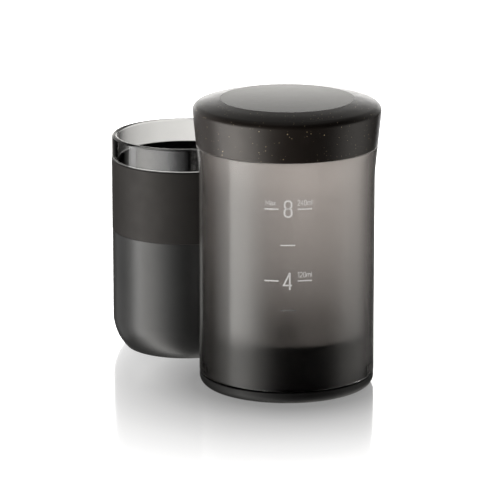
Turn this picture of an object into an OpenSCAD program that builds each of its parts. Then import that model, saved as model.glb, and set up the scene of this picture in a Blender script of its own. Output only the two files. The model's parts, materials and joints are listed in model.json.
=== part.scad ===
// Portable immersion coffee maker: a frosted chamber on a valved filter base,
// with a pull-off cap and a cup that nests in the chamber.
// Millimetres, +Z up. The origin is the middle of the brewer's foot, on the table, and -Y is the front.
// The base's heights are a chain from the table up. The cup takes its size from the room in the brewer.

/* [Chamber] */
// Outside diameter of the chamber
body_d = 75; // [70:0.5:90]
// Wall of the chamber
body_wall = 2.35; // [2.2:0.05:3]
// Height of the chamber's lower edge above the table
shell_z = 5.7; // [5.2:0.1:7]
// Height of the seam between the chamber and the cap
seam_z = 105; // [95:1:130]
// Length of the chamber's flare under the seam
flare_h = 12; // [8:0.5:20]
// Lean of the flare and of the cap's side, in degrees
flare_deg = 5.7; // [3:0.1:7]
// Radius of the soft bend where the flare starts
flare_round = 80; // [20:5:120]
// Wall of the neck inside the cap
neck_wall = 1.6; // [1.2:0.1:1.9]
// Radius of the chamber's lower outside edge
shell_edge_r = 0.8; // [0.3:0.1:1]

/* [Bayonet] */
// Number of lugs that lock the chamber to the base
lug_n = 2; // [2:1:4]
// Direction of the first lug, in degrees
lug_at = 15; // [10:1:30]
// Width of one lug, in degrees
lug_deg = 14; // [12:1:24]
// How far a lug stands out of the collar
lug_out = 1.1; // [0.8:0.1:1.2]
// Height of one lug
lug_h = 2; // [1.5:0.1:3]
// Height of the chamber's lip under the lugs
lip_h = 2.2; // [1.5:0.1:3]
// Turn between locked and free, in degrees
twist_deg = 30; // [25:1:50]

/* [Cap] */
// Height of the cap above the seam
cap_h = 20; // [18.4:0.1:26]
// Diameter of the flat disc in the top
disc_d = 57.2; // [44:0.2:60]
// Thickness of the disc
disc_t = 1.2; // [0.8:0.1:1.6]
// Fall from the disc's edge to the shoulder's corner
crown_h = 3.1; // [2.5:0.1:4]
// How far the crown bulges above a straight slope
crown_bulge = 0.45; // [0.2:0.05:0.6]
// Radius of the crown's soft bend
crown_round = 30; // [15:5:40]
// Radius of the shoulder
shoulder_r = 3; // [1:0.1:3.2]
// Roof of the cap under the disc
roof_t = 2.4; // [1.6:0.1:2.6]
// Fall of the roof's underside outside the liner
roof_fall = 1.8; // [1.2:0.1:2.2]
// Room over the neck inside the cap
neck_room = 1.6; // [0.6:0.1:3]
// Thickness of the liner's plate
liner_t = 1.2; // [1:0.1:1.6]
// Length of the liner's plug below its plate
plug_h = 11.2; // [8:0.1:12]
// Height of the seal on the plug
seal_h = 3; // [2:0.1:4]
// Depth of the seal's groove in the plug
seal_groove = 0.6; // [0.4:0.05:0.7]

/* [Base] */
// Radius of the foot's lower outside edge
foot_round = 3.8; // [2:0.1:4]
// Inset of the foot from the chamber's side
foot_inset = 0.1; // [0:0.05:0.5]
// Thickness of the foot under the housing's skirt
foot_t = 0.8; // [0.5:0.1:1.5]
// Wall of the collar around the filter
collar_t = 2.6; // [2:0.1:3]
// Width of the ledge that carries the filter
ledge_w = 1.8; // [1.4:0.1:2.2]
// Thickness of the funnel floor
floor_t = 2; // [1.5:0.1:2.5]
// Rise of the funnel floor from the valve seat to the wall
funnel_rise = 3.8; // [2:0.1:4.2]
// Diameter of the outlet under the valve
outlet_d = 17; // [14:0.5:20]
// Width of the valve seat around the outlet
seat_w = 3; // [2:0.1:4]
// Wall of the inner skirt that centres the cup's rim
skirt_t = 1.6; // [1.2:0.1:2]
// Height of the inner skirt above the table
skirt_z = 0.6; // [0.4:0.1:1.5]
// Diameter of the seal ring's section
oring_d = 2; // [1.6:0.1:2.2]
// Number of ribs that carry the valve guide
rib_n = 3; // [3:1:5]
// Width of one rib
rib_w = 1.6; // [1.2:0.1:2.4]

/* [Valve] */
// Travel of the valve
valve_lift = 2.8; // [2:0.1:3.2]
// Height of the release ring above the table
release_z = 1.2; // [1:0.1:2]
// Thickness of the release ring and its arms
release_t = 2; // [1.5:0.1:2.6]
// Width of one release arm
arm_w = 4; // [3:0.1:6]
// Number of release arms
arm_n = 3; // [3:1:5]
// Height of the release hub
hub_h = 3; // [2.8:0.1:4]
// Diameter of the valve stem
stem_d = 5; // [4:0.1:6]
// Wall of the valve guide
guide_t = 1.15; // [0.9:0.05:1.5]
// Thickness of the spring seat on the guide
flange_t = 1.2; // [0.8:0.1:1.6]
// Thickness of the valve washer
washer_t = 1.2; // [0.8:0.1:1.6]
// Thickness of the valve head
head_t = 1.6; // [1.2:0.1:2]
// Room between the open valve and the filter
head_room = 1.7; // [0.8:0.1:4]
// Wire of the spring
spring_wire = 0.7; // [0.5:0.05:0.8]
// Turns of the spring
spring_turns = 3; // [2:0.5:3.5]
// Length of the spring with the valve shut
spring_l = 5.8; // [5.4:0.1:8]
// Diameter of the screw's shank
screw_d = 2.2; // [1.8:0.1:2.6]
// Diameter of the screw's head
screw_head_d = 4.6; // [3.8:0.1:5]
// Height of the screw's head
screw_head_h = 0.8; // [0.5:0.1:0.9]
// Length of the screw in the stem
screw_l = 6; // [4:0.5:8]

/* [Filter] */
// Thickness of the gasket under the filter
gasket_t = 0.8; // [0.5:0.1:1.2]
// Thickness of the filter frame
frame_t = 1.9; // [1.4:0.1:2.6]
// Width of the filter frame's rim
frame_w = 2.6; // [2:0.1:4]
// Width of one spoke of the filter frame
spoke_w = 2.2; // [1.6:0.1:4]
// Number of spokes
spoke_n = 4; // [3:1:6]
// Thickness of the filter plate
mesh_t = 0.3; // [0.2:0.05:0.5]
// Width of one hole in the filter plate, across its corners
mesh_hole_d = 1.8; // [0.8:0.1:2]
// Spacing of the rings of holes
mesh_pitch = 3.3; // [2.8:0.1:5]
// Thickness of the clamp ring
clamp_t = 0.8; // [0.6:0.1:1.2]
// Height of the filter's knob
knob_h = 2.8; // [2:0.1:4]
// Diameter of the filter's knob
knob_d = 10; // [8:0.5:14]
// Diameter of the knob's waist
knob_waist_d = 6; // [5:0.2:7]
// Diameter of the knob's pin
knob_pin_d = 4; // [3:0.1:4.6]

/* [Cup] */
// Room around the cup when it nests in the chamber
nest_gap = 2.65; // [2.4:0.05:3.4]
// Room over the cup when it nests under the cap
nest_room = 1.2; // [0.4:0.1:10]
// Wall of the cup
cup_wall = 2.4; // [1.8:0.1:2.8]
// Radius of the cup's rounded bottom
cup_round = 20; // [16:0.5:24]
// Height of the cup's rounded bottom
cup_round_h = 14; // [10:0.5:15]
// Floor of the cup
cup_floor = 2.6; // [1.6:0.1:4]
// Width of the ring that the cup stands on
cup_foot_w = 4.4; // [2:0.1:6]
// Height of the bare lip above the sleeve
cup_lip_h = 10.5; // [6:0.5:20]
// Height of the grip sleeve
sleeve_h = 32; // [15:0.5:45]
// Thickness of the grip sleeve
sleeve_t = 1.15; // [0.8:0.05:1.3]
// How far the sleeve stands proud of the cup
sleeve_proud = 0.15; // [0:0.05:0.3]
// Gap between the cup and the brewer as they stand
cup_gap = 3.1; // [1:0.1:40]
// Direction from the brewer to the cup, in degrees
cup_deg = 125.5; // [0:0.5:360]

/* [Clearances] */
// Radial gap between the collar and the chamber's bore
bore_gap = 0.25; // [0.2:0.05:0.4]
// Gap between pieces that move past each other
run_gap = 0.3; // [0.2:0.05:0.4]
// Gap between a seal and the bore that it wipes
seal_gap = 0.15; // [0.1:0.01:0.3]
// Radial gap of the stem in its guide, and of pieces pressed together
press_gap = 0.05; // [0.02:0.01:0.08]
// Gap between the cup's rim and the walls of its groove
rim_gap = 0.3; // [0.2:0.05:0.5]
// Gap between the nested cup and the cap's plug
plug_room = 0.4; // [0.3:0.05:0.6]
// Radial gap between the plug and the neck
plug_gap = 0.85; // [0.7:0.05:0.9]

/* [Hidden] */
// Facets of a round piece and of a small one, steps of a fillet and of a large arc
round_fn = 128;
small_fn = 32;
fillet_steps = 5;
arc_steps = 14;
// Small edge roundings
edge_r = 0.4;
disc_edge_r = 0.2;
lip_r = 0.3;
// Height of one lip of the cap's seal, as a share of the seal
lip_share = 0.35;
rim_r = 1;
// How far a cut runs past the face that it opens
cut = 1;
// Rings of the spring's tube in each turn, and sides of the tube
spring_rings = 8;
spring_sides = 6;

black = "#17171a";
silicone = "#202022";
steel = "#b9bcc0";
smoke = "#8d8c88";

// Radii of the chamber and of what slides in it
body_r = body_d / 2;
bore_r = body_r - body_wall;
neck_r = bore_r + neck_wall;
collar_r = bore_r - bore_gap;
cup_r = bore_r - nest_gap;
cup_in_r = cup_r - cup_wall;
groove_out_r = cup_r + rim_gap;
groove_in_r = cup_in_r - rim_gap;
collar_in_r = collar_r - collar_t;
ledge_r = collar_in_r - ledge_w;
filter_r = collar_in_r - bore_gap;
mesh_r = filter_r - frame_w / 3;
mesh_rows = floor((filter_r - frame_w - mesh_hole_d - knob_d / 2) / mesh_pitch);

// Heights of the valve and the base, from the table up
hub_top = release_z + hub_h;
spring_top = hub_top + spring_l;
seat_z = spring_top + flange_t + floor_t;
head_z = seat_z + washer_t;
ledge_z = head_z + head_t + valve_lift + head_room;
frame_z = ledge_z + gasket_t;
mesh_z = frame_z + frame_t;
clamp_z = mesh_z + mesh_t;
band_z = clamp_z + clamp_t + run_gap;
funnel_top = seat_z + funnel_rise;
foot_top = shell_z - run_gap;
foot_r = body_r - foot_inset;

// Valve and outlet radii
outlet_r = outlet_d / 2;
seat_r = outlet_r + seat_w;
head_r = seat_r - run_gap;
stem_r = stem_d / 2;
guide_bore_r = stem_r + press_gap;
guide_r = guide_bore_r + guide_t;
guide_z = hub_top + valve_lift + run_gap;
spring_r = guide_r + run_gap + spring_wire / 2;
flange_r = spring_r + spring_wire / 2 + run_gap;
release_in_r = groove_in_r + run_gap;
release_out_r = groove_out_r - run_gap;
hub_floor = hub_h / 3;
stem_z = release_z + hub_floor;
arm_slot_top = release_z + release_t + valve_lift + run_gap;
rib_z = spring_top + flange_t / 2;
rib_top = seat_z - floor_t / 2;
guide_top = rib_top + run_gap;
screw_socket_d = screw_head_d / 2;
spring_z = hub_top + spring_wire / 2 + press_gap;
spring_rise = spring_l - spring_wire - 2 * press_gap;
spring_steps = spring_rings * spring_turns;
spring_slope = atan(spring_rise / (2 * PI * spring_r * spring_turns));

// Seal ring, lugs and the slots that the lugs lock into
oring_z = (funnel_under(groove_out_r) + ledge_z) / 2;
oring_r = bore_r - seal_gap - oring_d / 2;
oring_floor_r = oring_r - oring_d / 2 - press_gap;
oring_groove_h = oring_d + 2 * run_gap;
lug_z = shell_z + lip_h + run_gap;
lug_r = collar_r + lug_out;
slot_z = shell_z + lip_h;
slot_top = lug_z + lug_h + run_gap;
slot_r = lug_r + run_gap;
slot_half_deg = lug_deg / 2 + asin(run_gap / collar_r);

// Heights and radii of the cap
cap_top = seam_z + cap_h;
pocket_z = cap_top - disc_t;
roof_z = pocket_z - roof_t;
ceiling_z = roof_z - liner_t;
skirt_top = roof_z - roof_fall;
neck_top = skirt_top - neck_room;
plug_z = ceiling_z - plug_h;
disc_r = disc_d / 2;
flare_z = seam_z - flare_h;
function flare_at(z) = body_r + tan(flare_deg) * (z - flare_z);
seam_r = flare_at(seam_z);
crown_z = cap_top - crown_h;
crown_r = flare_at(crown_z);
crown_corner = [crown_r, crown_z];
crown_middle = [(crown_r + disc_r) / 2, (crown_z + cap_top) / 2 + crown_bulge];
crown_room = norm(crown_middle - crown_corner) - press_gap
    - shoulder_r * side_taken([seam_r, seam_z], crown_corner, crown_middle);
// The crown's bend, no wider than the shoulder's rounding leaves room for
bend_r = min(crown_round, crown_room / side_taken(crown_corner, crown_middle, [disc_r, cap_top]));
cap_in_r = neck_r + run_gap;
plug_in_r = cup_r + plug_room;
plug_r = bore_r - plug_gap;
seal_r = bore_r - seal_gap;
seal_in_r = plug_r - seal_groove + press_gap;
seal_z = plug_z + (neck_top - plug_z - seal_h) / 2;

// Cup
cup_h = ceiling_z - clamp_z - nest_room;
punt_h = knob_h + run_gap;
cup_foot_r = cup_r - cup_round + sqrt(cup_round * cup_round - cup_round_h * cup_round_h);
cup_floor_z = punt_h + cup_floor;
cup_in_round = cup_round - cup_wall;
sleeve_z = cup_h - cup_lip_h - sleeve_h;
recess_r = cup_r + sleeve_proud - sleeve_t;
cup_dist = crown_r + cup_r + cup_gap;
cup_pos = cup_dist * [cos(cup_deg), sin(cup_deg), 0];

// Points of an outline whose corners [x, y, radius] are rounded
function corner(p) = [p.x, p.y];
function unit(v) = v / norm(v);
// Length of each side of a corner that a rounding takes, for a radius of 1
function side_taken(a, c, b) = 1 / tan(acos(unit(a - c) * unit(b - c)) / 2);
function on_arc(middle, r, angle) = middle + r * [cos(angle), sin(angle)];
function corner_arc(a, c, b, r) =
    let (u = unit(a - c), v = unit(b - c), half = acos(u * v) / 2)
    let (middle = c + unit(u + v) * r / sin(half), start = c + u * r / tan(half) - middle)
    let (stop = c + v * r / tan(half) - middle, first = atan2(start.y, start.x))
    let (turn = atan2(stop.y, stop.x) - first)
    let (sweep = turn > 180 ? turn - 360 : turn < -180 ? turn + 360 : turn)
    [for (i = [0 : fillet_steps]) on_arc(middle, r, first + sweep * i / fillet_steps)];
function rounded(p) =
    let (n = len(p))
    [for (i = [0 : n - 1]) each (p[i].z == 0 ? [corner(p[i])]
        : corner_arc(corner(p[(i + n - 1) % n]), corner(p[i]), corner(p[(i + 1) % n]), p[i].z))];
// Points of an arc about a middle, from one angle to another
function arc(middle, r, first, last) =
    [for (i = [0 : arc_steps]) on_arc(middle, r, first + (last - first) * i / arc_steps)];

// A turned solid from an outline of [radius, height] points
module turned(points) rotate_extrude($fn = round_fn) polygon(points);

// A ring with square edges
module ring(inner, outer, z, h) turned([[inner, z], [outer, z], [outer, z + h], [inner, z + h]]);

// A round bar along the axis
module bar(r, z, h) translate([0, 0, z]) cylinder(r = r, h = h, $fn = round_fn);

// A stretch of a ring between two angles
module sector(inner, outer, z, h, first, last)
    rotate([0, 0, first])
        rotate_extrude(angle = last - first, $fn = round_fn)
            translate([inner, z]) square([outer - inner, h]);

// Copies around the axis
module around(n, first = 0) for (i = [0 : n - 1]) rotate([0, 0, first + i * 360 / n]) children();

// A flat bar between two radii, along +X
module spoke(inner, outer, width, z, h) translate([inner, -width / 2, z]) cube([outer - inner, width, h]);

// Underside of the funnel floor at a radius
function funnel_under(r) = seat_z - floor_t + funnel_rise * (r - seat_r) / (ledge_r - seat_r);

// Collar, filter ledge, funnel, groove for the cup's rim and valve guide, in one moulding
module base_housing() color(black) difference() {
    union() {
        turned(rounded([
            [collar_in_r, ledge_z, 0],
            [collar_in_r, band_z, edge_r],
            [collar_r, band_z, edge_r],
            [collar_r, oring_z + oring_groove_h / 2, 0],
            [oring_floor_r, oring_z + oring_groove_h / 2, 0],
            [oring_floor_r, oring_z - oring_groove_h / 2, 0],
            [collar_r, oring_z - oring_groove_h / 2, 0],
            [collar_r, foot_t, 0],
            [groove_out_r, foot_t, 0],
            [groove_out_r, funnel_under(groove_out_r), 0],
            [groove_in_r, funnel_under(groove_in_r), 0],
            [groove_in_r, skirt_z, edge_r],
            [groove_in_r - skirt_t, skirt_z, edge_r],
            [groove_in_r - skirt_t, funnel_under(groove_in_r - skirt_t), 0],
            [seat_r, seat_z - floor_t, 0],
            [outlet_r, seat_z - floor_t, 0],
            [outlet_r, seat_z, 0],
            [seat_r, seat_z, 0],
            [ledge_r, funnel_top, 0],
            [ledge_r, ledge_z, 0],
        ]));
        around(lug_n, lug_at) sector(collar_r - cut, lug_r, lug_z, lug_h, -lug_deg / 2, lug_deg / 2);
        bar(guide_r, guide_z, guide_top - guide_z);
        bar(flange_r, spring_top, flange_t);
        around(rib_n) spoke(0, outlet_r + seat_w / 2, rib_w, rib_z, rib_top - rib_z);
    }
    bar(guide_bore_r, guide_z - cut, guide_top - guide_z + 2 * cut);
    around(arm_n)
        spoke(groove_in_r - skirt_t - cut, groove_in_r + cut, arm_w + 2 * run_gap,
            skirt_z - cut, arm_slot_top - skirt_z + cut);
}

// Soft ring that the brewer stands on
module foot_ring() color(silicone) turned(rounded([
    [groove_out_r, 0, 0],
    [foot_r, 0, foot_round],
    [foot_r, foot_top, edge_r],
    [collar_r + press_gap, foot_top, 0],
    [collar_r + press_gap, foot_t, 0],
    [groove_out_r, foot_t, 0],
]));

// Seal ring between the collar and the chamber
module base_oring() color(silicone)
    rotate_extrude($fn = round_fn) translate([oring_r, oring_z]) circle(d = oring_d, $fn = small_fn);

// Frosted tube with its neck, and the slots that the base's lugs lock into
module brew_chamber() color(smoke, 0.6) difference() {
    turned(rounded([
        [bore_r, shell_z, edge_r],
        [body_r, shell_z, shell_edge_r],
        [body_r, flare_z, flare_round],
        [seam_r, seam_z, edge_r],
        [neck_r, seam_z, 0],
        [neck_r, neck_top, edge_r],
        [bore_r, neck_top, edge_r],
    ]));
    around(lug_n, lug_at) {
        sector(bore_r - cut, slot_r, slot_z, slot_top - slot_z,
            -twist_deg + slot_half_deg, slot_half_deg);
        sector(bore_r - cut, slot_r, shell_z - cut, slot_top - shell_z + cut,
            -twist_deg - slot_half_deg, -twist_deg + slot_half_deg);
    }
}

// Soft ring under the filter
module filter_gasket() color(silicone) ring(ledge_r, filter_r, ledge_z, gasket_t);

// Spoked frame that carries the filter plate
module filter_frame() color(black) difference() {
    union() {
        ring(filter_r - frame_w, filter_r, frame_z, frame_t);
        bar(knob_d / 2, frame_z, frame_t);
        around(spoke_n) spoke(0, filter_r - frame_w / 2, spoke_w, frame_z, frame_t);
    }
    bar(knob_pin_d / 2 + press_gap, frame_z - cut, frame_t + 2 * cut);
}

// Etched steel plate with rings of six-sided holes
module filter_mesh() color(steel) translate([0, 0, mesh_z]) linear_extrude(mesh_t) difference() {
    circle(r = mesh_r, $fn = round_fn);
    circle(r = knob_pin_d / 2 + press_gap, $fn = small_fn);
    for (row = [1 : mesh_rows])
        let (row_r = knob_d / 2 + row * mesh_pitch)
            around(floor(2 * PI * row_r / mesh_pitch))
                translate([row_r, 0]) circle(d = mesh_hole_d, $fn = 6);
}

// Ring that clamps the filter plate on its frame
module filter_clamp() color(black) turned(rounded([
    [filter_r - frame_w, clamp_z, 0],
    [filter_r, clamp_z, 0],
    [filter_r, clamp_z + clamp_t, edge_r],
    [filter_r - frame_w, clamp_z + clamp_t, edge_r],
]));

// Knob that lifts the filter out, with the pin that holds it in the frame
module filter_knob() color(black) turned(rounded([
    [0, frame_z, 0],
    [knob_pin_d / 2, frame_z, 0],
    [knob_pin_d / 2, clamp_z, 0],
    [knob_waist_d / 2, clamp_z, 0],
    [knob_waist_d / 2, clamp_z + knob_h / 3, 0],
    [knob_d / 2, clamp_z + knob_h / 2, edge_r],
    [knob_d / 2, clamp_z + knob_h, edge_r],
    [0, clamp_z + knob_h, 0],
]));

// Valve head and stem
module valve_stem() color(black) difference() {
    turned(rounded([
        [0, stem_z, 0],
        [stem_r, stem_z, edge_r],
        [stem_r, head_z, 0],
        [head_r, head_z, 0],
        [head_r, head_z + head_t, edge_r],
        [0, head_z + head_t, 0],
    ]));
    bar(screw_d / 2 + press_gap, stem_z - cut, screw_l + run_gap + cut);
}

// Soft washer that shuts the outlet
module valve_washer() color(silicone) ring(stem_r + press_gap, head_r, seat_z, washer_t);

// Coil spring around the guide, one tube along a helix
function spring_at(i) =
    let (a = 360 * i / spring_rings)
    [spring_r * cos(a), spring_r * sin(a), spring_z + spring_rise * i / spring_steps];
function spring_ring(i) =
    let (a = 360 * i / spring_rings, outward = [cos(a), sin(a), 0])
    let (upward = [sin(a) * sin(spring_slope), -cos(a) * sin(spring_slope), cos(spring_slope)])
    [for (k = [0 : spring_sides - 1])
        let (side = 360 * k / spring_sides)
        spring_at(i) + spring_wire / 2 * (cos(side) * outward + sin(side) * upward)];
module valve_spring() {
    n = spring_sides;
    last = spring_steps * n;
    points = [for (i = [0 : spring_steps]) each spring_ring(i)];
    walls = [for (i = [0 : spring_steps - 1], k = [0 : n - 1])
        let (a = i * n + k, b = i * n + (k + 1) % n)
        each [[a, b, b + n], [a, b + n, a + n]]];
    ends = [for (k = [1 : n - 2]) each [[0, k + 1, k], [last, last + k, last + k + 1]]];
    self_gap = min([for (i = [0 : spring_steps - spring_rings / 2], j = [i + spring_rings / 2 : spring_steps])
        norm(spring_at(i) - spring_at(j))]) - spring_wire;
    echo(str("least gap of the spring to itself, mm: ", self_gap));
    color(steel) polyhedron(points, concat(walls, ends));
}

// Ring that the cup's rim lifts, with its arms and hub
module release_spider() color(black) difference() {
    union() {
        ring(release_in_r, release_out_r, release_z, release_t);
        bar(flange_r, release_z, hub_h);
        around(arm_n) spoke(0, (release_in_r + release_out_r) / 2, arm_w, release_z, release_t);
    }
    bar(stem_r + press_gap, stem_z, hub_h);
    bar(screw_d / 2 + press_gap, release_z - cut, hub_h);
}

// Screw that holds the hub on the stem, with a hexagon socket
module stem_screw() color(steel) difference() {
    union() {
        bar(screw_head_d / 2, release_z - screw_head_h, screw_head_h);
        bar(screw_d / 2, release_z - screw_head_h, screw_head_h + hub_floor + screw_l);
    }
    translate([0, 0, release_z - screw_head_h - cut])
        cylinder(d = screw_socket_d, h = cut + screw_head_h / 2, $fn = 6);
}

// Outer shell of the cap, with the pocket for its disc
module cap_shell() color(black) turned(rounded([
    [cap_in_r, seam_z, edge_r],
    [seam_r, seam_z, edge_r],
    [crown_r, crown_z, shoulder_r],
    [crown_middle.x, crown_middle.y, bend_r],
    [disc_r, cap_top, 0],
    [disc_r, pocket_z, 0],
    [0, pocket_z, 0],
    [0, roof_z, 0],
    [plug_r + press_gap, roof_z, 0],
    [cap_in_r, skirt_top, 0],
]));

// Flat disc let into the cap's top
module cap_disc() color(black) turned(rounded([
    [0, pocket_z, 0],
    [disc_r - press_gap, pocket_z, 0],
    [disc_r - press_gap, cap_top, disc_edge_r],
    [0, cap_top, 0],
]));

// Liner under the cap's roof, with the plug that enters the neck
module cap_liner() color("#3a3a3c") turned(rounded([
    [0, ceiling_z, 0],
    [plug_in_r, ceiling_z, edge_r],
    [plug_in_r, plug_z, edge_r],
    [plug_r, plug_z, edge_r],
    [plug_r, seal_z, 0],
    [plug_r - seal_groove, seal_z, 0],
    [plug_r - seal_groove, seal_z + seal_h, 0],
    [plug_r, seal_z + seal_h, 0],
    [plug_r, roof_z, 0],
    [0, roof_z, 0],
]));

// Double-lipped seal on the plug
module cap_seal() color(silicone) turned(rounded([
    [seal_in_r, seal_z + press_gap, 0],
    [seal_r, seal_z + press_gap, lip_r],
    [seal_r, seal_z + seal_h * lip_share, lip_r],
    [plug_r + press_gap, seal_z + seal_h / 2, 0],
    [seal_r, seal_z + seal_h * (1 - lip_share), lip_r],
    [seal_r, seal_z + seal_h - press_gap, lip_r],
    [seal_in_r, seal_z + seal_h - press_gap, 0],
]));

// Cup that stands beside the brewer and nests in its chamber
module cup_body() color(smoke, 0.5) translate(cup_pos) turned(concat(
    [[0, punt_h], [cup_foot_r - cup_foot_w - punt_h / 2, punt_h], [cup_foot_r - cup_foot_w, 0]],
    arc([cup_r - cup_round, cup_round_h], cup_round, -asin(cup_round_h / cup_round), 0),
    [[cup_r, sleeve_z], [recess_r, sleeve_z], [recess_r, sleeve_z + sleeve_h], [cup_r, sleeve_z + sleeve_h]],
    corner_arc([cup_r, 0], [cup_r, cup_h], [0, cup_h], rim_r),
    corner_arc([cup_r, cup_h], [cup_in_r, cup_h], [cup_in_r, 0], rim_r),
    arc([cup_r - cup_round, cup_round_h], cup_in_round, 0, -asin((cup_round_h - cup_floor_z) / cup_in_round)),
    [[0, cup_floor_z]]
));

// Grip sleeve around the cup
module cup_sleeve() color(silicone) translate(cup_pos) turned(rounded([
    [recess_r + press_gap, sleeve_z + press_gap, 0],
    [cup_r + sleeve_proud, sleeve_z + press_gap, edge_r],
    [cup_r + sleeve_proud, sleeve_z + sleeve_h - press_gap, edge_r],
    [recess_r + press_gap, sleeve_z + sleeve_h - press_gap, 0],
]));

base_housing();
foot_ring();
base_oring();
brew_chamber();
filter_gasket();
filter_frame();
filter_mesh();
filter_clamp();
filter_knob();
valve_stem();
valve_washer();
valve_spring();
release_spider();
stem_screw();
cap_shell();
cap_disc();
cap_liner();
cap_seal();
cup_body();
cup_sleeve();
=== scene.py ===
"""Looks of a portable coffee maker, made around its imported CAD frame.

Sizes are in millimetres, and MM turns them into the frame's metres.
"""
import json
import math

import bmesh
import bpy
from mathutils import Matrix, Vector

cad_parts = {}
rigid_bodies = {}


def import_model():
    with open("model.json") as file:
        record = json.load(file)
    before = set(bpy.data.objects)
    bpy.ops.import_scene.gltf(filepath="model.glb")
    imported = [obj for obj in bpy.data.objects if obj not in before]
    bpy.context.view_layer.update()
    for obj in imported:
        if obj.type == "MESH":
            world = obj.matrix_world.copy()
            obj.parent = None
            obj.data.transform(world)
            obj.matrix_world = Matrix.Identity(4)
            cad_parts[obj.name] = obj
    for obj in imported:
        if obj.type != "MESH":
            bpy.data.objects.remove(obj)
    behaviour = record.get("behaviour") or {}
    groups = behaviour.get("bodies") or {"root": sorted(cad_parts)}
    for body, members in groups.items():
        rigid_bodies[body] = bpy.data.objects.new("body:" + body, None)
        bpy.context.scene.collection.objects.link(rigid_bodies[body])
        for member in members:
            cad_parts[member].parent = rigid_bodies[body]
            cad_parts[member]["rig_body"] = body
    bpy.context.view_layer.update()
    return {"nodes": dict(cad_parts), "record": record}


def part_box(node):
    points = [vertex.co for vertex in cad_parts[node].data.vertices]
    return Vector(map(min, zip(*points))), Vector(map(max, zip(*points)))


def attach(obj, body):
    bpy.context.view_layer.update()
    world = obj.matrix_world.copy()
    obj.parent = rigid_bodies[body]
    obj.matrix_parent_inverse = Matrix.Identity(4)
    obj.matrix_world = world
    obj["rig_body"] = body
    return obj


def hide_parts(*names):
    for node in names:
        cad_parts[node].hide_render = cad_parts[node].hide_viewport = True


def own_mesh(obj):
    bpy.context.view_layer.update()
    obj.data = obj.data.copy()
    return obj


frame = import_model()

scene = bpy.context.scene
MM = 0.001

# Facets of a turned piece, turn of one step of a fillet, and the angle from which an edge is sharp
SEGMENTS = 192
FILLET_STEP = math.radians(6)
SHARP_ANGLE = math.radians(28)


def extent(node):
    """Lowest and highest corner of a CAD node, in mm."""
    low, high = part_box(node)
    return low / MM, high / MM


# Heights and places that come from the frame
chamber_low = extent("brew_chamber")[0]
cap_low, cap_high = extent("cap_shell")
disc_low, disc_high = extent("cap_disc")
liner_high = extent("cap_liner")[1]
collar_high = extent("base_housing")[1]
foot_low, foot_high = extent("foot_ring")
cup_low, cup_high = extent("cup_body")
sleeve_low, sleeve_high = extent("cup_sleeve")
spring_low, spring_high = extent("valve_spring")

SHELL_Z = chamber_low.z
SEAM_Z = cap_low.z
CAP_TOP = cap_high.z
ROOF_Z = liner_high.z
CUP_MIDDLE = (cup_low + cup_high) / 2
SLEEVE_INSET = 0.01
SLEEVE_PROUD = 0.15
SLEEVE_R = (sleeve_high.x - sleeve_low.x) / 2 - SLEEVE_INSET
CUP_R = SLEEVE_R - SLEEVE_PROUD
CUP_H = cup_high.z

# Chamber and cap
BODY_R = 37.5
WALL_MIDDLE_R = BODY_R - 1.2
WALL_EDGE_H = 1.2
FLARE_Z = 93
FLARE = math.tan(math.radians(5.65))
CAP_IN_R = 37.05
PLUG_R = 34.35
CROWN_H = 3.1
CROWN_BULGE = 0.45
CROWN_ROUND = 40
SHOULDER_R = 3
DISC_R = (disc_high.x - disc_low.x) / 2
DISC_CROWN = 0.3
DISC_EDGE_R = 0.1
DISC_GAP = 0.03
ROOF_FALL = 1.8
EDGE_R = 0.4

# Foot
FOOT_IN_R = 32.8
COLLAR_R = 34.95
FOOT_R = 37.4
FOOT_T = 0.8
FOOT_ROUND = 3.8

# Cup
CUP_WALL = 2.4
CUP_ROUND = 20
CUP_ROUND_H = 14
CUP_FOOT_W = 4.4
CUP_PUNT = 3.1
CUP_FLOOR_Z = 5.7
RIM_R = 1
SLEEVE_T = 1.15
SLEEVE_GAP = 0.05
RECESS_R = SLEEVE_R - SLEEVE_T
LIP_RISE = 0.4
LIP_Z = sleeve_high.z + LIP_RISE
LIP_GAP = 0.01

# Spring
SPRING_WIRE = 0.7
SPRING_TURNS = 3

# Volume marks: heights, and ends of lines along the chamber's side, to the right of the front
MARK_240 = 85.3
MARK_180 = 69.8
MARK_120 = 54.4
MARK_LAST = 41.6
LEFT_LINE = (-9.8, -3.8)
RIGHT_LINE = (4.2, 10.3)
SHORT_LINE = (-3.0, 3.2)
LAST_LINE = (-2.8, 3.5)
INK_LIFT = 0.03
INK_SINK = 0.02
BEND_STEP = 0.4
STROKE = 0.55
NUMBER_STROKE = 0.68
LETTER_STROKE = 0.26


def rounded(corners):
    """Points of a closed outline of (radius, height, fillet) corners."""
    points = []
    for i, (x, y, fillet) in enumerate(corners):
        corner = Vector((x, y))
        if not fillet:
            points.append(corner)
            continue
        to_last = (Vector(corners[i - 1][:2]) - corner).normalized()
        to_next = (Vector(corners[(i + 1) % len(corners)][:2]) - corner).normalized()
        half = to_last.angle(to_next) / 2
        middle = corner + (to_last + to_next).normalized() * fillet / math.sin(half)
        start = corner + to_last * fillet / math.tan(half) - middle
        stop = corner + to_next * fillet / math.tan(half) - middle
        points += arc(middle, fillet, math.atan2(start.y, start.x), math.atan2(stop.y, stop.x))
    return points


def arc(middle, radius, first, last):
    """Points of the shorter arc between two angles."""
    sweep = (last - first + math.pi) % (2 * math.pi) - math.pi
    steps = max(3, math.ceil(abs(sweep) / FILLET_STEP))
    angles = [first + sweep * i / steps for i in range(steps + 1)]
    return [Vector(middle) + radius * Vector((math.cos(a), math.sin(a))) for a in angles]


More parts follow.
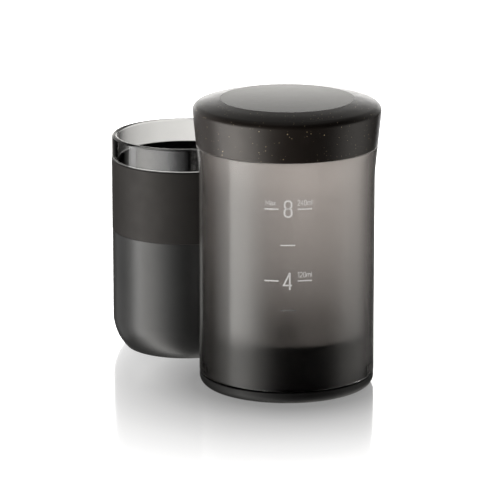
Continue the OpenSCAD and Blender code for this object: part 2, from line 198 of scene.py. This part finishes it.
def new_piece(name, shape, body, slot, material, replaced=None):
    """Makes a piece from a bmesh, smooth but for its sharp edges, and sets it on its body."""
    bmesh.ops.recalc_face_normals(shape, faces=shape.faces)
    mesh = bpy.data.meshes.new(name)
    shape.to_mesh(mesh)
    shape.free()
    mesh.shade_smooth()
    mesh.set_sharp_from_angle(angle=SHARP_ANGLE)
    mesh.materials.append(material)
    piece = bpy.data.objects.new(name, mesh)
    scene.collection.objects.link(piece)
    piece.modifiers.new("even_normals", "WEIGHTED_NORMAL").keep_sharp = True
    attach(piece, body)
    if replaced:
        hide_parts(replaced)
    return piece


def turned(points, middle=(0, 0)):
    """A solid turned from a closed outline of (radius, height) points."""
    shape = bmesh.new()
    turns = [2 * math.pi * i / SEGMENTS for i in range(SEGMENTS)]
    rings = []
    for r, z in points:
        angles = turns if r > 0 else turns[:1]
        places = [(middle[0] + r * math.cos(a), middle[1] + r * math.sin(a), z) for a in angles]
        rings.append([shape.verts.new(Vector(place) * MM) for place in places])
    for low, high in zip(rings, rings[1:] + rings[:1]):
        if len(low) == len(high) == 1:
            continue
        for i in range(SEGMENTS):
            j = (i + 1) % SEGMENTS
            quad = (low[i % len(low)], low[j % len(low)], high[j % len(high)], high[i % len(high)])
            shape.faces.new(dict.fromkeys(quad))
    return shape


# Materials

def new_material(name, **settings):
    """A material with one Principled shader. Settings name its sockets, with _ for a blank."""
    material = bpy.data.materials.new(name)
    material.use_nodes = True
    shader = material.node_tree.nodes["Principled BSDF"]
    for socket, value in settings.items():
        shader.inputs[socket.replace("_", " ")].default_value = value
    return material, material.node_tree, shader


def grey(value, warm=0.0):
    """A grey as a colour, with a little warmth."""
    return (value * (1 + warm), value, value * (1 - warm / 2), 1)


def noise(tree, size, detail=2.0):
    """Noise whose grains are about this many mm across."""
    place = tree.nodes.new("ShaderNodeTexCoord")
    texture = tree.nodes.new("ShaderNodeTexNoise")
    texture.inputs["Scale"].default_value = 1 / (size * MM)
    texture.inputs["Detail"].default_value = detail
    tree.links.new(place.outputs["Object"], texture.inputs["Vector"])
    return texture.outputs["Fac"]


def height(tree, low, high):
    """0 at one height of the object and 1 at another, in mm."""
    place = tree.nodes.new("ShaderNodeTexCoord")
    split = tree.nodes.new("ShaderNodeSeparateXYZ")
    tree.links.new(place.outputs["Object"], split.inputs["Vector"])
    return span(tree, split.outputs["Z"], low, high)


def reach(tree):
    """Distance from the object's upright axis, in metres."""
    place = tree.nodes.new("ShaderNodeTexCoord")
    flat = tree.nodes.new("ShaderNodeVectorMath")
    flat.operation = "MULTIPLY"
    flat.inputs[1].default_value = (1, 1, 0)
    length = tree.nodes.new("ShaderNodeVectorMath")
    length.operation = "LENGTH"
    tree.links.new(place.outputs["Object"], flat.inputs[0])
    tree.links.new(flat.outputs["Vector"], length.inputs[0])
    return length.outputs["Value"]


def span(tree, value, low, high):
    """0 at one length and 1 at another, in mm."""
    node = tree.nodes.new("ShaderNodeMapRange")
    node.inputs["From Min"].default_value = low * MM
    node.inputs["From Max"].default_value = high * MM
    tree.links.new(value, node.inputs["Value"])
    return node.outputs["Result"]


def ramp(tree, value, stops):
    """A colour ramp through (place, colour) stops, where a colour may be a number."""
    node = tree.nodes.new("ShaderNodeValToRGB")
    marks = node.color_ramp.elements
    while len(marks) < len(stops):
        marks.new(0.5)
    for mark, (place, colour) in zip(marks, stops):
        mark.position = place
        mark.color = grey(colour) if isinstance(colour, (int, float)) else colour
    tree.links.new(value, node.inputs["Fac"])
    return node.outputs["Color"]


def maths(tree, operation, first, second=None):
    """A Math node on two values, each a socket or a number."""
    node = tree.nodes.new("ShaderNodeMath")
    node.operation = operation
    for socket, value in zip(node.inputs, (first, second)):
        if isinstance(value, (int, float)):
            socket.default_value = value
        elif value is not None:
            tree.links.new(value, socket)
    return node.outputs["Value"]


def mix(tree, share, first, second):
    """A blend of two colours, each a socket or a colour."""
    node = tree.nodes.new("ShaderNodeMix")
    node.data_type = "RGBA"
    tree.links.new(share, node.inputs["Factor"])
    for socket, colour in zip((node.inputs[6], node.inputs[7]), (first, second)):
        if isinstance(colour, tuple):
            socket.default_value = colour
        else:
            tree.links.new(colour, socket)
    return node.outputs[2]


def bump(tree, shader, value, depth):
    """Relief of this depth in mm on a shader."""
    node = tree.nodes.new("ShaderNodeBump")
    node.inputs["Distance"].default_value = depth * MM
    tree.links.new(value, node.inputs["Height"])
    tree.links.new(node.outputs["Normal"], shader.inputs["Normal"])


def moulded(name, dark, light, rough, spread=0.06, grain=0.25, depth=0.004, **settings):
    """Moulded plastic or rubber: a fine grain, clouds of colour and an uneven gloss."""
    material, tree, shader = new_material(name, **settings)
    clouds = noise(tree, 14, 3)
    grains = noise(tree, grain)
    tree.links.new(ramp(tree, clouds, [(0.3, dark), (0.7, light)]), shader.inputs["Base Color"])
    gloss = ramp(tree, noise(tree, 5, 4), [(0.3, rough - spread), (0.7, rough + spread)])
    tree.links.new(gloss, shader.inputs["Roughness"])
    bump(tree, shader, grains, depth)
    return material


def frosted_smoke():
    """Smoke plastic, frosted inside and satin outside, with a glossy coat above the collar.

    Its colour has painted shade: darker towards the foot and where it is seen at a slant. Its lower edge is
    polished.
    """
    material, tree, shader = new_material(
        "frosted_smoke", Transmission_Weight=1.0, IOR=1.37, Coat_IOR=1.4, Coat_Roughness=0.085)
    warm = 0.045
    # Painted shade: these stops make the smoke's colour darker towards the foot
    shades = ((0.0, 0.36), (0.25, 0.45), (0.6, 0.645), (0.88, 0.745), (1.0, 0.73))
    smoke_and_foot_shade_stops = [(place, grey(shade, warm)) for place, shade in shades]
    smoke_and_foot_shade = ramp(tree, height(tree, SHELL_Z, SEAM_Z), smoke_and_foot_shade_stops)
    # Painted shade: the colour turns darker where the wall is seen at a slant, at the limbs
    slant = tree.nodes.new("ShaderNodeLayerWeight").outputs["Facing"]
    edge = ramp(tree, slant, [(0.45, 0.0), (0.75, 1.0)])
    tree.links.new(mix(tree, edge, smoke_and_foot_shade, grey(0.35, warm)), shader.inputs["Base Color"])
    skin = ramp(tree, noise(tree, 6, 4), [(0.3, 0.24), (0.7, 0.265)])
    above = height(tree, collar_high.z - 2, collar_high.z + 7)
    outside = span(tree, reach(tree), WALL_MIDDLE_R - 0.1, WALL_MIDDLE_R)
    bottom = height(tree, SHELL_Z + WALL_EDGE_H, SHELL_Z + WALL_EDGE_H - 0.5)
    skin = mix(tree, bottom, skin, grey(0.1))
    tree.links.new(maths(tree, "MULTIPLY", above, outside), shader.inputs["Coat Weight"])
    frost = ramp(tree, noise(tree, 3, 4), [(0.3, 0.6), (0.7, 0.7)])
    tree.links.new(mix(tree, outside, frost, skin), shader.inputs["Roughness"])
    bump(tree, shader, noise(tree, 0.3), 0.0015)
    return material


def cap_composite():
    """Matte black composite with fine pale flecks."""
    material = moulded("cap_composite", grey(0.014, 0.3), grey(0.02, 0.3), 0.33, spread=0.03, depth=0.006,
                       Specular_IOR_Level=0.48, Specular_Tint=(1, 0.96, 0.93, 1))
    tree = material.node_tree
    shader = tree.nodes["Principled BSDF"]
    place = tree.nodes.new("ShaderNodeTexCoord")
    cells = tree.nodes.new("ShaderNodeTexVoronoi")
    cells.inputs["Scale"].default_value = 1 / (0.9 * MM)
    tree.links.new(place.outputs["Object"], cells.inputs["Vector"])
    pick = tree.nodes.new("ShaderNodeSeparateColor")
    tree.links.new(cells.outputs["Color"], pick.inputs["Color"])
    blue = pick.outputs["Blue"]
    size = maths(tree, "MULTIPLY", blue, maths(tree, "MULTIPLY", blue, 0.22))
    small = maths(tree, "LESS_THAN", cells.outputs["Distance"], maths(tree, "ADD", size, 0.07))
    often = maths(tree, "ADD", pick.outputs["Red"], noise(tree, 9))
    fleck = maths(tree, "MULTIPLY", small, maths(tree, "GREATER_THAN", often, 1.15))
    plain = shader.inputs["Base Color"].links[0].from_socket
    speck = mix(tree, pick.outputs["Green"], (0.14, 0.11, 0.07, 1), (0.75, 0.6, 0.38, 1))
    tree.links.new(mix(tree, fleck, plain, speck), shader.inputs["Base Color"])
    return material


def etched_steel(name, rough):
    """Stainless steel with a fine etched grain."""
    material, tree, shader = new_material(name, Metallic=1.0)
    shades = ramp(tree, noise(tree, 3, 4), [(0.3, grey(0.5)), (0.7, grey(0.62))])
    tree.links.new(shades, shader.inputs["Base Color"])
    gloss = ramp(tree, noise(tree, 0.6, 3), [(0.3, rough - 0.08), (0.7, rough + 0.08)])
    tree.links.new(gloss, shader.inputs["Roughness"])
    bump(tree, shader, noise(tree, 0.15), 0.002)
    return material


def clear_smoke():
    """Clear glossy smoke plastic of the cup's lip."""
    material, tree, shader = new_material(
        "smoke_clear", Transmission_Weight=1.0, IOR=1.5, Specular_IOR_Level=0.8)
    clouds = ramp(tree, noise(tree, 12, 3), [(0.3, grey(0.62)), (0.7, grey(0.66))])
    tree.links.new(clouds, shader.inputs["Base Color"])
    gloss = ramp(tree, noise(tree, 5, 4), [(0.3, 0.04), (0.7, 0.06)])
    tree.links.new(gloss, shader.inputs["Roughness"])
    bump(tree, shader, noise(tree, 0.3), 0.001)
    return material


def ink(name, shade):
    """Screen-printed ink with slightly uneven cover."""
    material, tree, shader = new_material(name)
    cover = ramp(tree, noise(tree, 0.5, 3), [(0.3, grey(shade * 0.9, 0.02)), (0.7, grey(shade, 0.02))])
    tree.links.new(cover, shader.inputs["Base Color"])
    tree.links.new(ramp(tree, noise(tree, 0.8), [(0.3, 0.42), (0.7, 0.52)]), shader.inputs["Roughness"])
    return material


finishes = {
    "frosted_smoke": frosted_smoke(),
    "cap_composite": cap_composite(),
    "cap_disc_matte": moulded("cap_disc_matte", grey(0.02), grey(0.022), 0.22, spread=0.008, depth=0.002,
                              Specular_IOR_Level=0.38),
    "black_plastic": moulded("black_plastic", grey(0.006), grey(0.01), 0.38, Specular_IOR_Level=0.3),
    "liner_plastic": moulded("liner_plastic", grey(0.04), grey(0.05), 0.45),
    "silicone": moulded("silicone", grey(0.008), grey(0.012), 0.5, depth=0.006, Specular_IOR_Level=0.25),
    "steel": etched_steel("steel", 0.32),
    "spring_steel": etched_steel("spring_steel", 0.25),
    "smoke_clear": moulded("smoke_dark", grey(0.02), grey(0.026), 0.305, spread=0.015, depth=0.002,
                           Specular_IOR_Level=0.46),
    "sleeve_silicone": moulded("sleeve_silicone", grey(0.022, 0.08), grey(0.027, 0.08), 0.57, spread=0.04,
                               depth=0.008, Specular_IOR_Level=0.34, Specular_Tint=(1, 0.95, 0.92, 1)),
    "mark_ink": ink("mark_ink", 0.92),
}
slot_of = {row["node"]: row["material_slot"] for row in frame["record"]["subparts"]}
for node, part in frame["nodes"].items():
    part.data.materials.clear()
    part.data.materials.append(finishes[slot_of[node]])


def finish_of(node):
    """Body, slot and material of a piece that stands for a CAD node."""
    slot = slot_of[node]
    body = frame["nodes"][node]["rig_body"]
    return {"body": body, "slot": slot, "material": finishes[slot], "replaced": node}


# Cap
def flare_at(z):
    """Radius of the flared wall at a height."""
    return BODY_R + FLARE * (z - FLARE_Z)


crown_z = CAP_TOP - CROWN_H
crown_r = flare_at(crown_z)
disc_edge = CAP_TOP - DISC_CROWN
cap = new_piece("cap_skin", turned(rounded([
    (CAP_IN_R, SEAM_Z, EDGE_R),
    (flare_at(SEAM_Z), SEAM_Z, EDGE_R),
    (crown_r, crown_z, SHOULDER_R),
    ((crown_r + DISC_R) / 2, (crown_z + disc_edge) / 2 + CROWN_BULGE, CROWN_ROUND),
    (DISC_R + DISC_GAP, disc_edge, DISC_EDGE_R),
    (DISC_R + DISC_GAP, disc_low.z, 0),
    (0, disc_low.z, 0),
    (0, ROOF_Z, 0),
    (PLUG_R, ROOF_Z, 0),
    (CAP_IN_R, ROOF_Z - ROOF_FALL, 0),
])), **finish_of("cap_shell"))

dome = [(DISC_R * i / 12, CAP_TOP - DISC_CROWN * (i / 12) ** 2, 0) for i in range(12)]
new_piece("cap_plate", turned(rounded(
    [(0, disc_low.z, 0), (DISC_R, disc_low.z, 0), (DISC_R, disc_edge, DISC_EDGE_R)] + dome[::-1]
)), **finish_of("cap_disc"))

# Foot
new_piece("foot_skin", turned(rounded([
    (FOOT_IN_R, foot_low.z, 0),
    (FOOT_R, foot_low.z, FOOT_ROUND),
    (FOOT_R, foot_high.z, EDGE_R),
    (COLLAR_R, foot_high.z, 0),
    (COLLAR_R, FOOT_T, 0),
    (FOOT_IN_R, FOOT_T, 0),
])), **finish_of("foot_ring"))

# Cup and its sleeve
bottom_middle = (CUP_R - CUP_ROUND, CUP_ROUND_H)
foot_angle = -math.asin(CUP_ROUND_H / CUP_ROUND)
cup_foot_r = bottom_middle[0] + CUP_ROUND * math.cos(foot_angle)
inner_round = CUP_ROUND - CUP_WALL
floor_angle = -math.asin((CUP_ROUND_H - CUP_FLOOR_Z) / inner_round)
cup_outline = [
    (0, CUP_PUNT), (cup_foot_r - CUP_FOOT_W - CUP_PUNT / 2, CUP_PUNT), (cup_foot_r - CUP_FOOT_W, 0),
    *arc(bottom_middle, CUP_ROUND, foot_angle, 0),
    (CUP_R, sleeve_low.z - SLEEVE_GAP), (RECESS_R, sleeve_low.z - SLEEVE_GAP),
    (RECESS_R, sleeve_high.z + SLEEVE_GAP), (CUP_R, sleeve_high.z + SLEEVE_GAP),
    (CUP_R, LIP_Z), (CUP_R - CUP_WALL, LIP_Z),
    *arc(bottom_middle, inner_round, 0, floor_angle),
    (0, CUP_FLOOR_Z),
]
cup = new_piece("cup_skin", turned(cup_outline, CUP_MIDDLE), **finish_of("cup_body"))
lip = new_piece("cup_lip", turned(rounded([
    (CUP_R, LIP_Z + LIP_GAP, 0),
    (CUP_R, CUP_H, RIM_R),
    (CUP_R - CUP_WALL, CUP_H, RIM_R),
    (CUP_R - CUP_WALL, LIP_Z + LIP_GAP, 0),
]), CUP_MIDDLE), cup["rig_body"], slot_of["cup_body"], clear_smoke())
sleeve = new_piece("sleeve_skin", turned(rounded([
    (RECESS_R + SLEEVE_GAP, sleeve_low.z, 0),
    (SLEEVE_R, sleeve_low.z, EDGE_R),
    (SLEEVE_R, sleeve_high.z, EDGE_R),
    (RECESS_R + SLEEVE_GAP, sleeve_high.z, 0),
]), CUP_MIDDLE), **finish_of("cup_sleeve"))


# Spring
def helix(turns, radius, wire, low, high, per_turn=40, sides=12):
    """A closed tube of wire along a helix about the axis."""
    shape = bmesh.new()
    steps = turns * per_turn
    slope = math.atan2(high - low, 2 * math.pi * radius * turns)
    tilt = math.sin(slope)
    angles = [2 * math.pi * k / sides for k in range(sides)]
    rings = []
    for i in range(steps + 1):
        turn = 2 * math.pi * i / per_turn
        outward = Vector((math.cos(turn), math.sin(turn), 0))
        upward = Vector((math.sin(turn) * tilt, -math.cos(turn) * tilt, math.cos(slope)))
        middle = outward * radius + Vector((0, 0, low + (high - low) * i / steps))
        spokes = [outward * math.cos(a) + upward * math.sin(a) for a in angles]
        rings.append([shape.verts.new((middle + spoke * wire / 2) * MM) for spoke in spokes])
    for low_ring, high_ring in zip(rings, rings[1:]):
        for k in range(sides):
            n = (k + 1) % sides
            shape.faces.new((low_ring[k], low_ring[n], high_ring[n], high_ring[k]))
    shape.faces.new(rings[0])
    shape.faces.new(rings[-1])
    return shape


spring_r = (spring_high.x - spring_low.x) / 2 - SPRING_WIRE / 2
spring = new_piece("spring_coil", helix(
    SPRING_TURNS, spring_r, SPRING_WIRE, spring_low.z + SPRING_WIRE / 2, spring_high.z - SPRING_WIRE / 2,
), **finish_of("valve_spring"))
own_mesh(spring)


# Volume marks
def flat_stroke(path, width, closed=False):
    """Outline of a stroke of this width along a flat path, as its left and right edges."""
    left, right = [], []
    count = len(path)
    for i, point in enumerate(path):
        before = path[i - 1] if closed or i else None
        after = path[(i + 1) % count] if closed or i < count - 1 else None
        way_in = (point - before).normalized() if before is not None else None
        way_out = (after - point).normalized() if after is not None else None
        way_in, way_out = way_in or way_out, way_out or way_in
        along = (way_in + way_out).normalized()
        half_width = width / 2 / max(0.5, along.dot(way_in))
        side = Vector((-along.y, along.x)) * half_width
        left.append(point + side)
        right.append(point - side)
    return left, right


def raise_strip(shape, left, right, closed):
    """A thin solid between two edges, flat in x and y, from the ink's foot to its top."""
    rows = [[shape.verts.new((p.x, p.y, z)) for p in edge]
            for edge, z in ((left, -INK_SINK), (right, -INK_SINK), (right, INK_LIFT), (left, INK_LIFT))]
    count = len(left)
    for i in range(count if closed else count - 1):
        j = (i + 1) % count
        for row, after in zip(rows, rows[1:] + rows[:1]):
            shape.faces.new((row[i], row[j], after[j], after[i]))
    if not closed:
        for end in (0, -1):
            shape.faces.new([row[end] for row in rows])


def stroke(shape, path, width, closed=False):
    """A stroke of ink along a flat path."""
    raise_strip(shape, *flat_stroke([Vector(p) for p in path], width, closed), closed)


def loop(left, right, low, high, radius):
    """Path of a rounded loop."""
    return rounded([(left, low, radius), (right, low, radius), (right, high, radius), (left, high, radius)])


# Thin letters as (width, strokes), where the height of a capital is 1
GLYPHS = {
    "0": (0.36, [[(0, 0.2), (0.08, 0), (0.28, 0), (0.36, 0.2), (0.36, 0.8), (0.28, 1), (0.08, 1),
                  (0, 0.8), (0, 0.2)]]),
    "1": (0.22, [[(0, 0.85), (0.22, 1), (0.22, 0)]]),
    "2": (0.38, [[(0, 0.8), (0.1, 1), (0.28, 1), (0.38, 0.8), (0.38, 0.62), (0, 0), (0.38, 0)]]),
    "4": (0.42, [[(0.3, 0), (0.3, 1), (0, 0.28), (0.42, 0.28)]]),
    "m": (0.6, [[(0, 0), (0, 0.7)], [(0, 0.6), (0.2, 0.7), (0.3, 0.58), (0.3, 0)],
                [(0.3, 0.6), (0.5, 0.7), (0.6, 0.58), (0.6, 0)]]),
    "l": (0.02, [[(0.01, 0), (0.01, 1)]]),
    "M": (0.58, [[(0, 0), (0, 1), (0.29, 0.25), (0.58, 1), (0.58, 0)]]),
    "a": (0.34, [[(0, 0.6), (0.1, 0.7), (0.26, 0.7), (0.34, 0.58), (0.34, 0)],
                 [(0.34, 0.4), (0.1, 0.4), (0, 0.28), (0, 0.1), (0.1, 0), (0.2, 0), (0.34, 0.14)]]),
    "x": (0.36, [[(0, 0), (0.36, 0.7)], [(0, 0.7), (0.36, 0)]]),
    ".": (0.02, [[(0.01, 0), (0.01, 0.1)]]),
}
LETTER_GAP = 0.17


def words(shape, text, left, right, low, high):
    """Lettering of thin strokes that fills a box."""
    length = sum(GLYPHS[letter][0] for letter in text) + LETTER_GAP * (len(text) - 1)
    wide = (right - left) / length
    for letter in text:
        width, strokes = GLYPHS[letter]
        for path in strokes:
            stroke(shape, [(left + x * wide, low + y * (high - low)) for x, y in path], LETTER_STROKE)
        left += (width + LETTER_GAP) * wide


def print_on_chamber(name, shape, material):
    """Wraps flat marks, with x along the side and y up, round the chamber's front."""
    bmesh.ops.remove_doubles(shape, verts=shape.verts, dist=1e-5)
    xs = [v.co.x for v in shape.verts]
    cuts = math.ceil((max(xs) - min(xs)) / BEND_STEP)
    for i in range(1, cuts):
        x = min(xs) + i * BEND_STEP
        everything = shape.verts[:] + shape.edges[:] + shape.faces[:]
        bmesh.ops.bisect_plane(shape, geom=everything, plane_co=(x, 0, 0), plane_no=(1, 0, 0))
    for vertex in shape.verts:
        turn = vertex.co.x / BODY_R
        r = BODY_R + vertex.co.z
        vertex.co = Vector((r * math.sin(turn), -r * math.cos(turn), vertex.co.y)) * MM
    return new_piece(name, shape, "chamber", "mark_ink", material)


lines = bmesh.new()
for z, (left, right) in ((MARK_240, LEFT_LINE), (MARK_240, RIGHT_LINE), (MARK_180, SHORT_LINE),
                         (MARK_120, LEFT_LINE), (MARK_120, RIGHT_LINE)):
    stroke(lines, [(left, z), (right, z)], STROKE)
marks = [print_on_chamber("mark_lines", lines, finishes["mark_ink"])]

last_line = bmesh.new()
stroke(last_line, [(x, MARK_LAST) for x in LAST_LINE], STROKE)
marks.append(print_on_chamber("mark_last_line", last_line, ink("mark_ink_thin", 0.2)))

# An 8 of two loops and a 4 of two strokes
numbers = bmesh.new()
stroke(numbers, loop(-1.25, 1.55, 85.6, 88.8, 1.2), NUMBER_STROKE, closed=True)
stroke(numbers, loop(-1.35, 1.65, 82.1, 85.6, 1.3), NUMBER_STROKE, closed=True)
stroke(numbers, [(0.9, 57.8), (-1.65, 52.5), (1.9, 52.5)], NUMBER_STROKE)
stroke(numbers, [(0.95, 50.6), (0.95, 58.0)], NUMBER_STROKE)
marks.append(print_on_chamber("mark_numbers", numbers, finishes["mark_ink"]))

labels = bmesh.new()
words(labels, "Max.", -9.2, -4.6, 87.0, 89.1)
words(labels, "240ml", 4.2, 10.2, 87.0, 89.1)
words(labels, "120ml", 4.2, 10.2, 56.0, 58.1)
marks.append(print_on_chamber("mark_labels", labels, finishes["mark_ink"]))

# Stage: a pale floor that only the camera sees, with a painted shadow where its glow is dimmer under and
# near the part. Its half size is in metres.
FLOOR_HALF = 4
FLOOR_SHADOW_R = 40
FLOOR_PALE_R = 130
floor_shape = bmesh.new()
bmesh.ops.create_grid(floor_shape, x_segments=1, y_segments=1, size=FLOOR_HALF)
floor_mesh = bpy.data.meshes.new("floor")
floor_shape.to_mesh(floor_mesh)
floor_shape.free()
floor = bpy.data.objects.new("floor", floor_mesh)
scene.collection.objects.link(floor)
floor_material, floor_tree, floor_shader = new_material(
    "floor", Base_Color=grey(0.8), Roughness=0.5, Specular_IOR_Level=0.0, Coat_Weight=1.0, Coat_IOR=2.5,
    Coat_Roughness=0.1, Emission_Color=grey(1))
# Painted shadow: the floor's glow is dim near the part's axis and rises to full further out
shadow_fade = span(floor_tree, reach(floor_tree), FLOOR_SHADOW_R, FLOOR_PALE_R)
floor_tree.links.new(ramp(floor_tree, shadow_fade, [(0.0, 0.36), (0.25, 0.7), (0.6, 1.05), (1.0, 1.35)]),
                     floor_shader.inputs["Emission Strength"])
floor_mesh.materials.append(floor_material)
floor.visible_glossy = False
floor.visible_diffuse = False
floor.visible_transmission = False
floor.visible_shadow = False


# Lamps: places and sizes in metres
def lamp_for(name, receivers, place, target, size, brightness, fade=()):
    """A soft panel that lights only some pieces. A fade has (place, share) stops along its width."""
    data = bpy.data.lights.new(name, "AREA")
    data.shape = "RECTANGLE"
    data.size, data.size_y = size
    data.energy = brightness * math.pi * size[0] * size[1]
    lamp = bpy.data.objects.new(name, data)
    lamp.location = place
    lamp.rotation_euler = (Vector(target) - Vector(place)).to_track_quat("-Z", "Y").to_euler()
    lamp.visible_camera = False
    scene.collection.objects.link(lamp)
    group = bpy.data.collections.new(name)
    for piece in receivers:
        group.objects.link(piece)
    lamp.light_linking.receiver_collection = group
    if fade:
        data.use_nodes = True
        tree = data.node_tree
        where = tree.nodes.new("ShaderNodeNewGeometry")
        split = tree.nodes.new("ShaderNodeSeparateXYZ")
        tree.links.new(where.outputs["Parametric"], split.inputs["Vector"])
        tree.links.new(ramp(tree, split.outputs["X"], fade), tree.nodes["Emission"].inputs["Color"])


lamp_for("paper_wall", [floor], (0, 3, 0.9), (0, 0, 0.9), (8, 1.8), 2.5)
lamp_for("mark_lamp", marks, (0.13, -0.13, 0.3), (0, -0.03, 0.07), (0.06, 0.06), 50)
chamber = frame["nodes"]["brew_chamber"]
lamp_for("edge_lamp", [chamber], (0.256, 0.248, -0.474), (0.024, -0.029, 0.005), (0.12, 0.4), 9)
lamp_for("left_panel", [cup, sleeve, cap], (-0.562, -0.025, -0.1), (-0.068, 0.04, -0.1), (0.15, 0.47), 2.5)
lamp_for("left_fill", [cup, cap], (-0.51, 0.31, -0.1), (-0.076, 0.06, -0.1), (0.47, 0.47), 0.35)
lamp_for("cap_back", [cap], (-0.05, 1.2, 0.03), (0, 0, 0.12), (1.2, 0.69), 1.5)
CUP_FRONT = {
    "place": (-0.574, -0.786, -0.2), "target": (-0.044, 0.062, -0.2), "size": (1.53, 0.8),
    "fade": [(0.0, 0.0), (0.3, 0.6), (0.48, 1.0), (0.55, 1.0), (0.75, 0.37), (1.0, 0.0)],
}
lamp_for("cup_front", [cup], brightness=0.5, **CUP_FRONT)
lamp_for("lip_panel", [lip], (-0.569, 0.048, -0.1), (-0.044, 0.062, -0.1), (0.15, 0.47), 2.8)
lamp_for("lip_front", [lip], brightness=2.3, **CUP_FRONT)

# Studio light all round, in bands of height: (height, share) stops and (direction, brightness) stops
# Heights are in degrees above the horizon; directions are in degrees from the front, to the right.
LEFT_PANEL = [(-112, 0.0), (-98, 0.7), (-83, 1.6), (-78, 4.5), (-68, 4.5), (-55, 3.9), (-40, 1.9),
              (-25, 0.45), (-10, 0.02)]
RIGHT_PANEL = [(55, 0.02), (70, 0.5), (85, 1.1), (105, 0.8), (125, 0.1)]
BACK_LEFT = [(-180, 1.3), (-170, 0.15), (-150, 0.0)]
BACK_RIGHT = [(150, 0.0), (170, 0.15), (180, 1.3)]
SIDE_PANELS = ([(-8, 1.0), (6, 0.0)], BACK_LEFT + LEFT_PANEL + RIGHT_PANEL + BACK_RIGHT)
BACKDROP = (
    [(-8, 0.0), (6, 1.0), (15, 0.0)],
    [(-180, 3.2), (-155, 1.0), (-125, 0.8), (-100, 0.0), (110, 0.0), (155, 1.0), (180, 3.2)],
)
BACK_GLOW = (
    [(10, 0.0), (20, 1.0), (30, 0.75), (40, 0.25), (75, 0.0)],
    [(-180, 0.5), (-145, 0.7), (-120, 0.6), (-80, 0.0), (80, 0.0), (120, 0.4), (145, 0.6), (180, 0.5)],
)
FLOOR_GLOW = (
    [(-65, 1.0), (-35, 1.0), (-22, 0.0)],
    [(100, 0.0), (125, 1.2), (165, 1.2), (180, 0.0)],
)
OVERHEAD = ([(45, 0.0), (70, 1.0)], [(-180, 0.25), (180, 0.25)])
LIGHT_COLOUR = (1.0, 0.985, 0.95)

world = bpy.data.worlds.new("studio")
scene.world = world
world.use_nodes = True
sky = world.node_tree
way = sky.nodes.new("ShaderNodeTexCoord")
split = sky.nodes.new("ShaderNodeSeparateXYZ")
sky.links.new(way.outputs["Generated"], split.inputs["Vector"])
direction = maths(sky, "ARCTAN2", split.outputs["X"], maths(sky, "MULTIPLY", split.outputs["Y"], -1.0))
direction = maths(sky, "ADD", maths(sky, "DIVIDE", direction, 2 * math.pi), 0.5)
rise = maths(sky, "ADD", maths(sky, "DIVIDE", maths(sky, "ARCSINE", split.outputs["Z"]), math.pi), 0.5)


def light_by(angle, stops, turn):
    """Brightness by an angle that runs from 0 to 1, from stops in degrees."""
    return ramp(sky, angle, [((a + turn / 2) / turn, value) for a, value in stops])


bands = [maths(sky, "MULTIPLY", light_by(rise, heights, 180), light_by(direction, directions, 360))
         for heights, directions in (SIDE_PANELS, BACKDROP, BACK_GLOW, FLOOR_GLOW, OVERHEAD)]
studio = sky.nodes["Background"]
tone = sky.nodes.new("ShaderNodeVectorMath")
tone.operation = "SCALE"
tone.inputs[0].default_value = LIGHT_COLOUR
light = bands[0]
for band in bands[1:]:
    light = maths(sky, "ADD", light, band)
sky.links.new(light, tone.inputs["Scale"])
sky.links.new(tone.outputs["Vector"], studio.inputs["Color"])
paper = sky.nodes.new("ShaderNodeBackground")
paper.inputs["Color"].default_value = grey(1)
seen = sky.nodes.new("ShaderNodeLightPath")
choose = sky.nodes.new("ShaderNodeMixShader")
sky.links.new(seen.outputs["Is Camera Ray"], choose.inputs["Fac"])
sky.links.new(studio.outputs["Background"], choose.inputs[1])
sky.links.new(paper.outputs["Background"], choose.inputs[2])
sky.links.new(choose.outputs["Shader"], sky.nodes["World Output"].inputs["Surface"])

# Camera, at the photograph's viewing angle
CAMERA_PLACE = (-0.01572, -1.6167, 0.47155)
CAMERA_TILT = math.radians(75.66)
camera_data = bpy.data.cameras.new("camera")
camera_data.lens = 280.8
camera_data.sensor_width = 36
camera_data.clip_start = 0.1
camera_data.clip_end = 50
camera = bpy.data.objects.new("camera", camera_data)
camera.location = CAMERA_PLACE
camera.rotation_euler = (CAMERA_TILT, 0, 0)
scene.collection.objects.link(camera)
scene.camera = camera
scene.view_settings.view_transform = "Standard"
